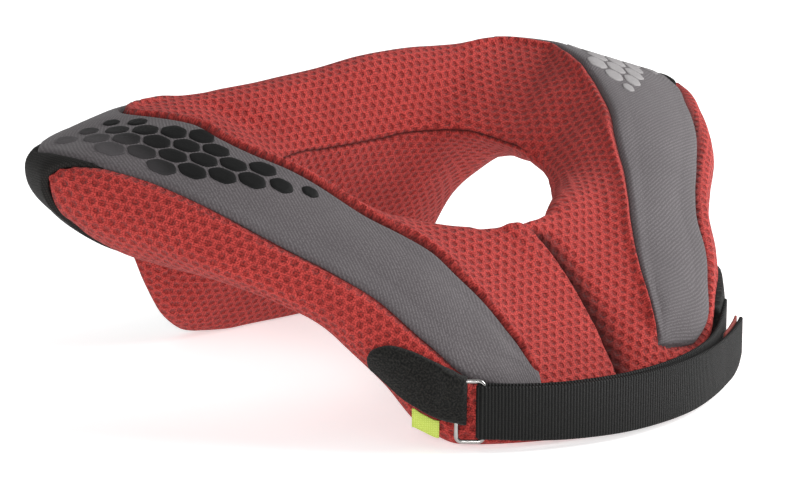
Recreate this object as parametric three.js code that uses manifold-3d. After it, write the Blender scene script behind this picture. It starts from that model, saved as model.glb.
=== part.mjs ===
// Padded neck roll for young off-road riders: a C-shaped foam collar covered in spacer mesh, with
// stretch side panels, a back panel, and a webbing strap that closes the front through a wire ring.
// Millimetres, +Z up, the collar's front towards -Y and the wearer's left towards +X.
import * as THREE from "three";
import Module from "manifold-3d";

const wasm = await Module();
wasm.setup();

// Collar sections for one half of the ring: upright slices fanned round the neck axis. A row is the
// slice's turn, its angle from the back in degrees, and its corners in the order of CORNERS, each as
// [distance from the neck axis, height].
const CORNERS = ["waist", "ridge", "brow", "flank", "heel", "foot"];
const SECTIONS = [
  [0, [54, 79], [75, 108.8], [83, 103], [94, 60], [110, -1], [97, -1]],
  [14, [56, 79], [77, 108.6], [86, 103], [97, 60], [113, -1], [100, -1]],
  [24, [58, 80], [82, 108.2], [91, 102], [103, 60], [118, 1], [106, 1]],
  [31, [60, 80], [87, 107.8], [97, 102], [108, 61], [120, 9], [109, 8]],
  [37, [61, 80], [94, 107.4], [104, 101], [114, 64], [123, 26], [111, 25]],
  [42, [61, 80], [101, 107], [112, 101], [120, 71], [127, 45], [107, 46]],
  [47, [60, 80], [108, 108], [122, 100], [128, 76], [131, 53], [96, 56]],
  [54, [58, 79], [115, 108], [139, 97], [142, 79], [138, 59], [80, 65]],
  [61, [56, 78], [116, 108], [157, 93], [157, 81], [140, 64], [70, 68]],
  [67, [55, 77], [107, 108], [165, 91], [164, 80], [136, 63], [66, 68]],
  [73, [54, 75], [99, 107], [165, 92], [163, 79], [131, 61], [64, 66]],
  [79, [53, 72], [93, 103], [155, 91], [157, 76], [125, 59], [63, 64]],
  [86, [50, 70], [86, 99], [138, 88], [143, 72], [114, 56], [60, 61]],
  [95, [45, 69], [79, 95], [123, 82], [130, 66], [104, 52], [58, 57]],
  [105, [42, 69], [73, 88], [110, 73], [116, 57], [98, 45], [60, 48]],
  [115, [41, 71], [70, 80], [102, 64], [107, 48], [94, 33], [67, 34]],
  [125, [41, 72], [69, 74], [98, 54], [104, 36], [94, 20], [76, 16]],
  [135, [41, 72], [70, 67], [100, 41], [103, 22], [97, 4], [80, 2]],
  [143, [41, 72], [73, 58], [103, 31], [102, 13], [102, -1], [82, -1]],
  [150, [41, 72], [78, 49], [102, 26], [102, 11], [103, -1], [83, -1]],
  [157, [42, 71], [87, 36], [99, 21], [101, 10], [103, -1], [82, -1]],
  [161, [42, 71], [93, 26], [98, 18], [101, 9], [103, -1], [82, -1]],
  [180, [43, 71], [88, 20], [95, 13], [99, 7], [102, -1], [79, -1]],
].map(([turn, ...corners]) => ({ turn, corners }));
// Where each corner's curve starts, and the swell of the edge that follows it.
const CORNER_ROUND = { waist: 9, ridge: 8, brow: 9, flank: 9, heel: 8, foot: 7 };
const EDGE_PUFF = { waist: -1, ridge: 1, brow: 0.5, flank: 1, heel: 0, foot: 0 };
const CORNER_STEPS = 3; // outline steps round each corner
const EDGE_STEPS = 1; // outline points between two corners
const SLICE_RUNS = [
  { upTo: 36, count: 5 },
  { upTo: 96, count: 16 },
  { upTo: 174, count: 13 },
  { upTo: 180, count: 3 },
];
const SPLIT_GAP = 1; // between the two front ends
const SPLIT_FROM = 140; // turn from which the ends draw apart
const END_ROUND = { turns: 4, deep: 3 }; // rounding of the front ends, in degrees and mm

// Cloth panels, sewn flush into the cover.
const PANEL_THICK = 1.4;
const SEAM_GAP = 0.3;
const SIDE_PANEL = { back: 57, front: 157 }; // turns at its two ends, between the ridge and brow seams
const BACK_PANEL = { top: 78, bottom: 70.5 }; // half-width in turns at the brow and at the heel
const BACK_START = 0.1; // outline steps between the brow seam and the back panel
const BACK_STOP = 1.4; // outline steps between the back panel and the heel corner
const POCKET = { under: 0.3, above: 4 }; // reach of a panel's cutter below the panel and above the cover

// Felt tabs on the front corners: heights of both edges and the thickness where one folds round the ring.
const TABS = [
  { turn: 123.5, low: 29.5, high: 33, fold: 2.2 },
  { turn: 125, low: 27, high: 36, fold: 2.2 },
  { turn: 128, low: 23.4, high: 37.5, fold: 2.2 },
  { turn: 132, low: 17, high: 36, fold: 2.2 },
  { turn: 137, low: 12.3, high: 32, fold: 2.4 },
  { turn: 140.8, low: 10, high: 28.5, fold: 5 },
  { turn: 143.4, low: 8.5, high: 26, fold: 5 },
];
const TAB_THICK = 2.2;
const TAB_COLUMNS = 10;
const TAB_ROWS = 9;
const TAB_CLEAR = 0.8;
const HALVINGS = 24; // halvings of the search for a height on the wall

// Wire ring: its two bars as turn and distance from the neck axis.
const RING_WIRE = 2;
const RING_BARS = [{ turn: -142, out: 105.6 }, { turn: -147.4, out: 106.3 }];
const RING_CORNER = 2.2;
const RING_STEPS = 4; // steps round each corner
const WIRE_SIDES = 10;
const RING_CLEAR = 0.6;

// Webbing strap, upright: the outer face and both edges of each layer, from the sewn end round the
// ring's bar to the free end. Turns run on past the front, so -220 is the wearer's left at 140.
const STRAP_INNER = [
  { turn: -215.6, out: 105.8, low: 6, high: 26 },
  { turn: -211, out: 107, low: 5, high: 25 },
  { turn: -205, out: 107.6, low: 3.8, high: 24 },
  { turn: -196, out: 107.6, low: 3, high: 23.6 },
  { turn: -180, out: 107.6, low: 2.8, high: 23.6 },
  { turn: -164, out: 107.2, low: 3, high: 23.8 },
  { turn: -155, out: 106.2, low: 3.6, high: 24 },
  { turn: -147.4, out: 105, low: 4.2, high: 24.3 },
];
const STRAP_OUTER = [
  { turn: -147.4, out: 109.2, low: 4.2, high: 24.3 },
  { turn: -155, out: 110, low: 3.6, high: 24 },
  { turn: -164, out: 110.4, low: 3, high: 23.8 },
  { turn: -180, out: 110.6, low: 2.8, high: 23.6 },
  { turn: -196, out: 110.4, low: 3, high: 23.6 },
  { turn: -206, out: 110.2, low: 3.4, high: 23.6 },
  { turn: -214, out: 110.6, low: 3.6, high: 23.6 },
  { turn: -220, out: 112, low: 4.4, high: 23.8 },
  { turn: -224, out: 113.5, low: 6.5, high: 24 },
  { turn: -226.5, out: 114.5, low: 10, high: 24.2 },
];
const STRAP_THICK = 1.6;
const FOLD_STEPS = 6; // steps of the strap's fold round the ring
const BAND_DEGREES = 5; // longest step along a band, in degrees of turn

// Hook fastener behind the strap's free end, and the small loop label under the ring's tab.
const HOOK = [
  { turn: -218, out: 109.4, low: 6, high: 25 },
  { turn: -222, out: 110.6, low: 6.5, high: 25.5 },
  { turn: -226, out: 112.2, low: 9, high: 26 },
];
const HOOK_THICK = 1;
const TAG = [
  { turn: -132.4, out: 103.4, low: 6.6, high: 12.8 },
  { turn: -135, out: 103.6, low: 4.8, high: 10.6 },
  { turn: -138.6, out: 104.2, low: 2.4, high: 8.4 },
];
const TAG_THICK = 0.9;

const { lerp, clamp, smoothstep, degToRad } = THREE.MathUtils;

// A value of a table at any turn: a cubic through the rows that doesn't overshoot them.
function along(rows, read, turn) {
  const last = rows.length - 1;
  const slope = (i) => (read(rows[i + 1]) - read(rows[i])) / (rows[i + 1].turn - rows[i].turn);
  const tangent = (i) => {
    if (i === 0 || i === last) return 0;
    const [before, after] = [slope(i - 1), slope(i)];
    return before * after <= 0 ? 0 : (2 * before * after) / (before + after);
  };
  const way = Math.sign(rows[last].turn - rows[0].turn);
  let i = 0;
  while (i < last - 1 && (turn - rows[i + 1].turn) * way > 0) i += 1;
  const [a, b] = [rows[i], rows[i + 1]];
  const span = b.turn - a.turn;
  const t = clamp((turn - a.turn) / span, 0, 1);
  const [t2, t3] = [t * t, t * t * t];
  return (
    (2 * t3 - 3 * t2 + 1) * read(a) +
    (t3 - 2 * t2 + t) * span * tangent(i) +
    (3 * t2 - 2 * t3) * read(b) +
    (t3 - t2) * span * tangent(i + 1)
  );
}

// The closed outline of the slice at a turn as (distance, height), waist first and on over the top.
function outline(turn) {
  const read = (i, axis) => along(SECTIONS, (row) => row.corners[i][axis], turn);
  const at = CORNERS.map((_, i) => new THREE.Vector2(read(i, 0), read(i, 1)));
  const count = at.length;
  const cut = (i, j) => {
    const way = at[j].clone().sub(at[i]);
    return at[i].clone().addScaledVector(way, Math.min(CORNER_ROUND[CORNERS[i]] / way.length(), 0.45));
  };
  const points = [];
  for (let i = 0; i < count; i += 1) {
    const [before, after] = [(i + count - 1) % count, (i + 1) % count];
    const curve = new THREE.QuadraticBezierCurve(cut(i, before), at[i], cut(i, after));
    points.push(...curve.getPoints(CORNER_STEPS));
    const [from, to] = [cut(i, after), cut(after, i)];
    const outward = new THREE.Vector2(from.y - to.y, to.x - from.x).normalize();
    for (let k = 1; k <= EDGE_STEPS; k += 1) {
      const t = k / (EDGE_STEPS + 1);
      points.push(from.clone().lerp(to, t).addScaledVector(outward, 4 * t * (1 - t) * EDGE_PUFF[CORNERS[i]]));
    }
  }
  const into = clamp((turn - 180 + END_ROUND.turns) / END_ROUND.turns, 0, 1);
  const inset = END_ROUND.deep * (1 - Math.sqrt(1 - into * into));
  const middle = points.reduce((sum, p) => sum.add(p), new THREE.Vector2()).divideScalar(points.length);
  return points.map((p) => p.addScaledVector(middle.clone().sub(p).normalize(), inset));
}
const BLOCK = CORNER_STEPS + 1 + EDGE_STEPS; // outline points per corner
const ROUND = CORNERS.length * BLOCK;
// The outline step in the middle of a corner's curve.
const seam = (corner) => CORNERS.indexOf(corner) * BLOCK + CORNER_STEPS / 2;

function polar(turn, out, height) {
  const a = degToRad(turn);
  return new THREE.Vector3(out * Math.sin(a), out * Math.cos(a), height);
}

// A point of the cover at a turn, either side, and an outline step.
function cover(turn, step) {
  const points = outline(Math.abs(turn));
  const k = Math.floor(step);
  const p = points[(k + ROUND) % ROUND].clone().lerp(points[(k + 1 + ROUND) % ROUND], step - k);
  const part = (Math.sign(turn) * SPLIT_GAP * smoothstep(Math.abs(turn), SPLIT_FROM, 180)) / 2;
  return polar(turn, p.x, p.y).add(new THREE.Vector3(part, 0, 0));
}

function coverNormal(turn, step) {
  const round = cover(turn + 1, step).sub(cover(turn - 1, step));
  const across = cover(turn, step + 1).sub(cover(turn, step - 1));
  return round.cross(across).normalize();
}

// The outline step on the outer wall, between brow and heel, where the cover has a given height.
function wallStep(turn, height) {
  let [above, below] = [seam("brow"), seam("heel")];
  for (let i = 0; i < HALVINGS; i += 1) {
    const middle = (above + below) / 2;
    if (cover(turn, middle).z > height) above = middle;
    else below = middle;
  }
  return above;
}

function solid(points, faces) {
  const vertProperties = new Float32Array(points.flatMap((p) => p.toArray()));
  const triVerts = new Uint32Array(faces);
  return wasm.Manifold.ofMesh(new wasm.Mesh({ numProp: 3, vertProperties, triVerts }));
}

// A solid through rings of points, with fan caps, or closed on itself.
function loft(rings, closed = false) {
  const size = rings[0].length;
  const points = rings.flat();
  const faces = [];
  for (let r = 0; r < rings.length - (closed ? 0 : 1); r += 1) {
    const next = ((r + 1) % rings.length) * size;
    for (let i = 0; i < size; i += 1) {
      const j = (i + 1) % size;
      faces.push(r * size + i, next + j, r * size + j, r * size + i, next + i, next + j);
    }
  }
  if (closed) return solid(points, faces);
  for (const [start, first] of [[0, true], [(rings.length - 1) * size, false]]) {
    const centre = points.length;
    const ring = points.slice(start, start + size);
    points.push(ring.reduce((sum, p) => sum.add(p), new THREE.Vector3()).divideScalar(size));
    for (let i = 0; i < size; i += 1) {
      const [a, b] = [start + i, start + ((i + 1) % size)];
      faces.push(...(first ? [centre, a, b] : [centre, b, a]));
    }
  }
  return solid(points, faces);
}

// A sheet over part of the cover. where(u, w) gives [turn, step] for every pair of the two lists, and
// lift and thick may change along u.
function sheet(us, ws, where, lift, thick) {
  const [inner, outer] = [[], []];
  for (const u of us) {
    for (const w of ws) {
      const [turn, step] = where(u, w);
      const [p, n] = [cover(turn, step), coverNormal(turn, step)];
      inner.push(p.clone().addScaledVector(n, lift(u)));
      outer.push(p.clone().addScaledVector(n, lift(u) + thick(u)));
    }
  }
  const [columns, rows] = [us.length - 1, ws.length - 1];
  const points = [...outer, ...inner];
  const [row, under] = [rows + 1, outer.length];
  const faces = [];
  const quad = (a, b, c, d) => faces.push(a, b, c, a, c, d);
  for (let i = 0; i < columns; i += 1) {
    for (let j = 0; j < rows; j += 1) {
      const a = i * row + j;
      quad(a, a + row, a + row + 1, a + 1);
      quad(under + a, under + a + 1, under + a + row + 1, under + a + row);
    }
    const [near, far] = [i * row, i * row + rows];
    quad(near, under + near, under + near + row, near + row);
    quad(far, far + row, under + far + row, under + far);
  }
  for (let j = 0; j < rows; j += 1) {
    const end = columns * row + j;
    quad(j, j + 1, under + j + 1, under + j);
    quad(end, under + end, under + end + 1, end + 1);
  }
  const made = solid(points, faces);
  return made.volume() > 0 ? made : solid(points, faces.map((f, i) => faces[i - (i % 3) + 2 - (i % 3)]));
}

// An upright band: its plan points stand at the lower edge and carry the band's height there.
function band(path, thick) {
  const rings = path.map(({ at, tall }, i) => {
    const [before, after] = [path[Math.max(i - 1, 0)].at, path[Math.min(i + 1, path.length - 1)].at];
    const side = new THREE.Vector3(after.y - before.y, before.x - after.x, 0).setLength(thick / 2);
    const up = new THREE.Vector3(0, 0, tall);
    const [inside, outside] = [at.clone().sub(side), at.clone().add(side)];
    return [inside, outside, outside.clone().add(up), inside.clone().add(up)];
  });
  return loft(rings);
}

function bandPath(rows, thick) {
  const [first, last] = [rows[0].turn, rows.at(-1).turn];
  const count = Math.ceil(Math.abs(last - first) / BAND_DEGREES);
  return Array.from({ length: count + 1 }, (_, i) => {
    const turn = lerp(first, last, i / count);
    const read = (name) => along(rows, (row) => row[name], turn);
    return { at: polar(turn, read("out") - thick / 2, read("low")), tall: read("high") - read("low") };
  });
}

// The foam collar in its cover.
const halfTurns = [0];
for (const { upTo, count } of SLICE_RUNS) {
  const from = halfTurns.at(-1);
  for (let i = 1; i <= count; i += 1) halfTurns.push(lerp(from, upTo, i / count));
}
const turns = [...halfTurns.slice(1).map((turn) => -turn).reverse(), ...halfTurns];
const steps = Array.from({ length: ROUND }, (_, i) => i);
let collar = loft(turns.map((turn) => steps.map((step) => cover(turn, step))));

// The values of a list between two ends, and the ends themselves moved out by some spare.
function between(list, low, high, spare) {
  const inside = list.filter((value) => value > low + SEAM_GAP && value < high - SEAM_GAP);
  return [low - spare, ...inside, high + spare];
}

// Panels let into the cover: each is cut out of the collar with a seam's gap all round.
function letIn(turnEnds, stepEnds, where) {
  const lists = (spare) => [between(turns, ...turnEnds, spare), between(steps, ...stepEnds, spare / 2)];
  const floor = -PANEL_THICK - POCKET.under;
  collar = collar.subtract(sheet(...lists(SEAM_GAP), where, () => floor, () => POCKET.above - floor));
  return sheet(...lists(0), where, () => -PANEL_THICK, () => PANEL_THICK);
}

function sidePanel(side) {
  const stepEnds = [seam("ridge"), seam("brow")];
  return letIn([SIDE_PANEL.back, SIDE_PANEL.front], stepEnds, (turn, step) => [side * turn, step]);
}

function backPanel() {
  const [top, bottom] = [seam("brow") + BACK_START, seam("heel") - BACK_STOP];
  const narrow = (step) => lerp(1, BACK_PANEL.bottom / BACK_PANEL.top, (step - top) / (bottom - top));
  return letIn([-BACK_PANEL.top, BACK_PANEL.top], [top, bottom], (turn, step) => [turn * narrow(step), step]);
}

function tab(side, thick) {
  const even = (from, to, count) => Array.from({ length: count + 1 }, (_, i) => lerp(from, to, i / count));
  const us = even(TABS[0].turn, TABS.at(-1).turn, TAB_COLUMNS);
  const where = (turn, w) => {
    const read = (name) => along(TABS, (row) => row[name], turn);
    return [side * turn, wallStep(turn, lerp(read("low"), read("high"), w))];
  };
  return sheet(us, even(0, 1, TAB_ROWS), where, () => TAB_CLEAR, thick);
}

// The wire ring stands on edge between its two bars, its corners rounded.
function ring(wire) {
  const [near, far] = RING_BARS.map((bar) => polar(bar.turn, bar.out, 0));
  const low = STRAP_OUTER[0].low - RING_CLEAR - RING_WIRE / 2;
  const high = STRAP_OUTER[0].high + RING_CLEAR + RING_WIRE / 2;
  const wide = near.distanceTo(far);
  const way = far.clone().sub(near).normalize();
  const outward = new THREE.Vector3(way.y, -way.x, 0);
  const rings = [];
  for (const [cx, cz, from] of [[0, 0, 180], [1, 0, 270], [1, 1, 0], [0, 1, 90]]) {
    for (let k = 0; k <= RING_STEPS; k += 1) {
      const a = degToRad(from + (90 * k) / RING_STEPS);
      const x = lerp(RING_CORNER, wide - RING_CORNER, cx) + RING_CORNER * Math.cos(a);
      const z = lerp(low + RING_CORNER, high - RING_CORNER, cz) + RING_CORNER * Math.sin(a);
      const centre = near.clone().addScaledVector(way, x).setZ(z);
      const out = way.clone().multiplyScalar(Math.cos(a)).setZ(Math.sin(a));
      rings.push(
        Array.from({ length: WIRE_SIDES }, (_, i) => {
          const b = (2 * Math.PI * i) / WIRE_SIDES;
          return centre
            .clone()
            .addScaledVector(out, (wire / 2) * Math.cos(b))
            .addScaledVector(outward, (wire / 2) * Math.sin(b));
        }),
      );
    }
  }
  const made = loft(rings, true);
  return made.volume() > 0 ? made : loft(rings.reverse(), true);
}

function strap() {
  const inner = bandPath(STRAP_INNER, STRAP_THICK);
  const outer = bandPath(STRAP_OUTER, STRAP_THICK);
  const [from, to] = [inner.at(-1).at, outer[0].at];
  const centre = from.clone().lerp(to, 0.5);
  const arm = from.clone().sub(centre);
  const ahead = new THREE.Vector3(-arm.y, arm.x, 0);
  if (ahead.dot(to.clone().sub(outer[1].at)) < 0) ahead.negate();
  const fold = [];
  for (let k = 1; k < FOLD_STEPS; k += 1) {
    const a = (Math.PI * k) / FOLD_STEPS;
    const at = centre.clone().addScaledVector(arm, Math.cos(a)).addScaledVector(ahead, Math.sin(a));
    fold.push({ at, tall: outer[0].tall });
  }
  return band([...inner, ...fold, ...outer], STRAP_THICK);
}

const foldThick = (turn) => along(TABS, (row) => row.fold, turn);
const wireRing = ring(RING_WIRE);
const pieces = {
  side_panel_left: [sidePanel(1), "grey"],
  side_panel_right: [sidePanel(-1), "grey"],
  back_panel: [backPanel(), "black"],
  ring_tab: [tab(-1, foldThick).subtract(ring(RING_WIRE + 2 * TAB_CLEAR)), "felt"],
  anchor_tab: [tab(1, () => TAB_THICK), "felt"],
  strap_ring: [wireRing, "steel"],
  closure_strap: [strap(), "black"],
  hook_patch: [band(bandPath(HOOK, HOOK_THICK), HOOK_THICK), "hook"],
  side_tag: [band(bandPath(TAG, TAG_THICK), TAG_THICK), "lime"],
  collar_pad: [collar, "red"],
};
const MATERIALS = {
  red: { color: 0xa83a36, roughness: 0.9 },
  grey: { color: 0x6d6769, roughness: 0.85 },
  black: { color: 0x2b2927, roughness: 0.8 },
  felt: { color: 0x232221, roughness: 0.95 },
  steel: { color: 0xc9c9c9, roughness: 0.2, metalness: 1 },
  hook: { color: 0xa0524c, roughness: 0.9 },
  lime: { color: 0xcddc6e, roughness: 0.8 },
};

const group = new THREE.Group();
for (const [name, [made, slot]] of Object.entries(pieces)) {
  const { vertProperties, triVerts } = made.getMesh();
  const geometry = new THREE.BufferGeometry();
  geometry.setAttribute("position", new THREE.BufferAttribute(vertProperties, 3));
  geometry.setIndex(new THREE.BufferAttribute(triVerts, 1));
  const mesh = new THREE.Mesh(geometry, new THREE.MeshStandardMaterial({ name: slot, ...MATERIALS[slot] }));
  mesh.name = name;
  group.add(mesh);
}
const box = new THREE.Box3().setFromObject(group);
const origin = box.getCenter(new THREE.Vector3()).setZ(box.min.z);
for (const mesh of group.children) mesh.geometry.translate(-origin.x, -origin.y, -origin.z);

export default group;
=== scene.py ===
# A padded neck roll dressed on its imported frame. The tables are in millimetres and degrees, and every
# mesh is made in metres. +Z is up, the front is towards -Y and the wearer's left towards +X.
import math
import bpy
import numpy as np
from numpy.linalg import norm, solve
from mathutils import Matrix, Vector


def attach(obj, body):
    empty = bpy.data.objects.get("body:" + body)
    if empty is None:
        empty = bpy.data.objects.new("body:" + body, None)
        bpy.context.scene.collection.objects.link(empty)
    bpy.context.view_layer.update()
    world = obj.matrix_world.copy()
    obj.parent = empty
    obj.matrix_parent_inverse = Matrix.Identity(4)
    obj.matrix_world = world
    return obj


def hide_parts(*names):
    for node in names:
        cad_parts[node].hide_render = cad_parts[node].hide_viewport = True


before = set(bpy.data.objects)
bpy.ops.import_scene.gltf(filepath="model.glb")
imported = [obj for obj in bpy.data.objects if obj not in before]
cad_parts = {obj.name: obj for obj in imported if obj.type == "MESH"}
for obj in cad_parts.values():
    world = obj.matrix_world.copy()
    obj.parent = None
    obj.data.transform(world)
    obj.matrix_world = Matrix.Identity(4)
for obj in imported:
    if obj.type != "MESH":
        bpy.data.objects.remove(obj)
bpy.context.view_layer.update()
scene = bpy.context.scene

MM = 0.001
NECK = np.array([0, 1.033, 1.0])  # the part's origin to the neck axis at the tables' zero height

# Camera: where it stands, its heading and dip in degrees, its roll, and its lens on a 36 mm frame.
CAMERA_AT = (-1.20567, -1.41625, 0.53374)
CAMERA_TURN = -39.84
CAMERA_DIP = 14.5
CAMERA_ROLL = 0.5
CAMERA_LENS = 225
CAMERA_SENSOR = 36

# Collar sections, one row a slice: its turn from the back, then waist, ridge, brow, flank, heel and
# foot, each as distance from the neck axis and height.
CORNERS = ["waist", "ridge", "brow", "flank", "heel", "foot"]
SECTIONS = [
    (0, (54, 79), (75, 108.8), (83, 103), (94, 60), (110, -1), (97, -1)),
    (14, (56, 79), (77, 108.6), (86, 103), (97, 60), (113, -1), (100, -1)),
    (24, (58, 80), (82, 108.2), (91, 102), (103, 60), (118, 1), (106, 1)),
    (31, (60, 80), (87, 107.8), (97, 102), (108, 61), (120, 9), (109, 8)),
    (37, (61, 80), (94, 107.4), (104, 101), (114, 64), (123, 24), (111, 23)),
    (42, (61, 80), (101, 107), (112, 101), (120, 71), (127, 41), (107, 42)),
    (47, (60, 80), (108, 108), (122, 100), (128, 76), (131, 51), (96, 54)),
    (54, (58, 79), (115, 108), (139, 97), (142, 79), (138, 59), (80, 65)),
    (61, (56, 78), (116, 108), (157, 93), (157, 81), (140, 64), (70, 68)),
    (67, (55, 77), (107, 108), (165, 91), (164, 80), (136, 63), (66, 68)),
    (73, (54, 75), (99, 107), (165, 92), (163, 79), (131, 61), (64, 66)),
    (79, (53, 72), (93, 103), (155, 91), (157, 76), (125, 59), (63, 64)),
    (86, (50, 70), (86, 99), (138, 88), (143, 72), (114, 56), (60, 61)),
    (95, (45, 69), (79, 95), (123, 82), (130, 66), (104, 52), (58, 57)),
    (105, (42, 69), (73, 88), (110, 73), (116, 57), (98, 45), (60, 48)),
    (115, (41, 71), (70, 80), (102, 64), (107, 48), (94, 33), (67, 34)),
    (125, (41, 72), (69, 74), (98, 54), (104, 36), (94, 20), (76, 16)),
    (135, (41, 72), (70, 67), (100, 41), (103, 22), (97, 4), (80, 2)),
    (143, (41, 72), (73, 58), (103, 31), (102, 13), (102, -1), (82, -1)),
    (150, (41, 72), (78, 49), (102, 26), (102, 11), (103, -1), (83, -1)),
    (157, (42, 71), (87, 36), (99, 21), (101, 10), (103, -1), (82, -1)),
    (161, (42, 71), (93, 26), (98, 18), (101, 9), (103, -1), (82, -1)),
    (180, (43, 71), (88, 20), (95, 13), (99, 7), (102, -1), (79, -1)),
]
CORNER_ROUND = [9, 8, 9, 9, 8, 7]  # where each corner's curve starts
CORNER_SHARE = 0.45  # the most of an edge that a corner's curve takes up
EDGE_PUFF = [-1, 1, 0.5, 1, 0, 0]  # swell of the edge after each corner
CORNER_STEPS = [20, 16, 16, 10, 10, 8]  # even, so that a seam runs along the middle of a corner
EDGE_STEPS = [24, 24, 4, 12, 6, 18]
PUFF_SPAN = 12  # an edge shorter than this swells less
SPLIT_GAP = 0.3  # between the two front ends
SPLIT_FROM = 140  # turn from which the ends draw apart
SPLIT_LINE = [(0, 3), (24, 6.7), (33, 7.6), (43, 7.1), (54, 5.1), (64, 0.9), (72, -5)]  # height, sideways
SPLIT_BEND = 160  # turn from which both front ends follow the split's line
END_ROUND = {"turns": 2, "right": 1.2, "left": 1.5}  # how far each end's last turns draw in

# What differs between the two sides. A pair here and below is where a form begins or ends, and by where
# it has done so. The left front corner is fuller, away from the neck and between two heights.
CHEEK = {"out": 3.5, "turn": 124, "turns": 13, "reach": (72, 92), "bottom": (18, 32), "top": (44, 66)}
# The wearer's right wing tip is thicker, above and below.
RIGHT_TIP_UP = {"high": 5.0, "side": (85, 160), "bottom": (72, 95)}
RIGHT_TIP_DOWN = {"deep": 2.5, "side": (75, 125), "bottom": (40, 50), "top": (60, 85)}
# The left tip sags, and the rim behind it stands higher.
LEFT_TIP = {"sag": 4.8, "side": (85, 150)}
LEFT_RIM = {"high": 3.6, "turn": 26, "turns": 26, "bottom": (82, 106)}


def smooth(x, low, high):
    t = np.clip((np.asarray(x, float) - low) / (high - low), 0, 1)
    return t * t * (3 - 2 * t)


def bell(x, middle, half):
    return np.exp(-(((x - middle) / half) ** 2))


def along(xs, ys, x):
    """Values of a table at any x: a cubic through the rows that doesn't overshoot them."""
    xs, ys, x = np.asarray(xs, float), np.asarray(ys, float), np.asarray(x, float)
    if xs[-1] < xs[0]:
        xs, ys = xs[::-1], ys[::-1]
    slope = np.diff(ys) / np.diff(xs)
    tangent = np.zeros_like(ys)
    both = slope[:-1] * slope[1:]
    total = np.where(both > 0, slope[:-1] + slope[1:], 1)
    tangent[1:-1] = np.where(both > 0, 2 * both / total, 0)
    i = np.clip(np.searchsorted(xs, x) - 1, 0, len(xs) - 2)
    span = xs[i + 1] - xs[i]
    t = np.clip((x - xs[i]) / span, 0, 1)
    return (
        (2 * t**3 - 3 * t**2 + 1) * ys[i]
        + (t**3 - 2 * t**2 + t) * span * tangent[i]
        + (3 * t**2 - 2 * t**3) * ys[i + 1]
        + (t**3 - t**2) * span * tangent[i + 1]
    )


def outline(turns):
    """The slices' closed outlines at these turns, as (turn, step, distance and height)."""
    signed = np.asarray(turns, float)
    turns = np.abs(signed)
    table_turns = [row[0] for row in SECTIONS]
    at = np.empty((len(turns), len(CORNERS), 2))
    for i in range(len(CORNERS)):
        for axis in range(2):
            at[:, i, axis] = along(table_turns, [row[1 + i][axis] for row in SECTIONS], turns)

    def cut(i, j):
        way = at[:, j] - at[:, i]
        share = np.minimum(CORNER_ROUND[i] / norm(way, axis=1), CORNER_SHARE)
        return at[:, i] + way * share[:, None]

    points = []
    for i in range(len(CORNERS)):
        before, after = i - 1, (i + 1) % len(CORNERS)
        a, b, c = cut(i, before), at[:, i], cut(i, after)
        for t in np.linspace(0, 1, CORNER_STEPS[i] + 1):
            points.append((1 - t) ** 2 * a + 2 * t * (1 - t) * b + t * t * c)
        d = cut(after, i)
        outward = np.stack([c[:, 1] - d[:, 1], d[:, 0] - c[:, 0]], 1)
        clear = norm(outward, axis=1, keepdims=True)
        outward *= np.minimum(clear / PUFF_SPAN, 1) / clear
        for k in range(1, EDGE_STEPS[i] + 1):
            t = k / (EDGE_STEPS[i] + 1)
            points.append(c + (d - c) * t + outward * 4 * t * (1 - t) * EDGE_PUFF[i])
    points = np.stack(points, 1)
    into = np.clip((turns - 180 + END_ROUND["turns"]) / END_ROUND["turns"], 0, 1)
    inset = np.where(signed < 0, END_ROUND["right"], END_ROUND["left"]) * (1 - np.sqrt(1 - into**2))
    to_middle = points.mean(1, keepdims=True) - points
    to_middle /= norm(to_middle, axis=2, keepdims=True)
    return points + to_middle * inset[:, None, None]


STARTS = np.cumsum([0] + [c + 1 + e for c, e in zip(CORNER_STEPS, EDGE_STEPS)])
ROUND = STARTS[-1]


def seam(corner):
    """The outline step in the middle of a corner's curve."""
    i = CORNERS.index(corner)
    return STARTS[i] + CORNER_STEPS[i] // 2


def polar(turns, out, height):
    """Points round the neck axis, in the part's frame."""
    a = np.radians(turns)
    out, height = np.broadcast_arrays(out, height)
    return np.stack([out * np.sin(a), out * np.cos(a), height], -1) + NECK


def cover(turns):
    """The cover's points at these turns, as a grid of turn and outline step."""
    turns = np.asarray(turns, float)
    section = outline(turns)
    points = polar(turns[:, None], section[:, :, 0], section[:, :, 1])
    apart = np.sign(turns) * SPLIT_GAP / 2 * smooth(np.abs(turns), SPLIT_FROM, 180)
    x, z = points[:, :, 0], points[:, :, 2]
    bent = along(*zip(*SPLIT_LINE), z) * smooth(np.abs(turns), SPLIT_BEND, 180)[:, None]
    fuller = CHEEK["out"] * bell(turns, CHEEK["turn"], CHEEK["turns"])[:, None]
    fuller = fuller * smooth(section[:, :, 0], *CHEEK["reach"])
    fuller = fuller * smooth(z, *CHEEK["bottom"]) * (1 - smooth(z, *CHEEK["top"]))
    rise = RIGHT_TIP_UP["high"] * smooth(-x, *RIGHT_TIP_UP["side"]) * smooth(z, *RIGHT_TIP_UP["bottom"])
    sunk = RIGHT_TIP_DOWN["deep"] * smooth(-x, *RIGHT_TIP_DOWN["side"])
    rise -= sunk * (1 - smooth(z, *RIGHT_TIP_DOWN["top"])) * smooth(z, *RIGHT_TIP_DOWN["bottom"])
    rise -= LEFT_TIP["sag"] * smooth(x, *LEFT_TIP["side"])
    rim = bell(turns, LEFT_RIM["turn"], LEFT_RIM["turns"])[:, None]
    rise += LEFT_RIM["high"] * rim * smooth(z, *LEFT_RIM["bottom"])
    points[:, :, 0] = x + apart[:, None] + bent + fuller * np.sin(np.radians(turns))[:, None]
    points[:, :, 1] += fuller * np.cos(np.radians(turns))[:, None]
    points[:, :, 2] = z + rise
    return points


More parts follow.
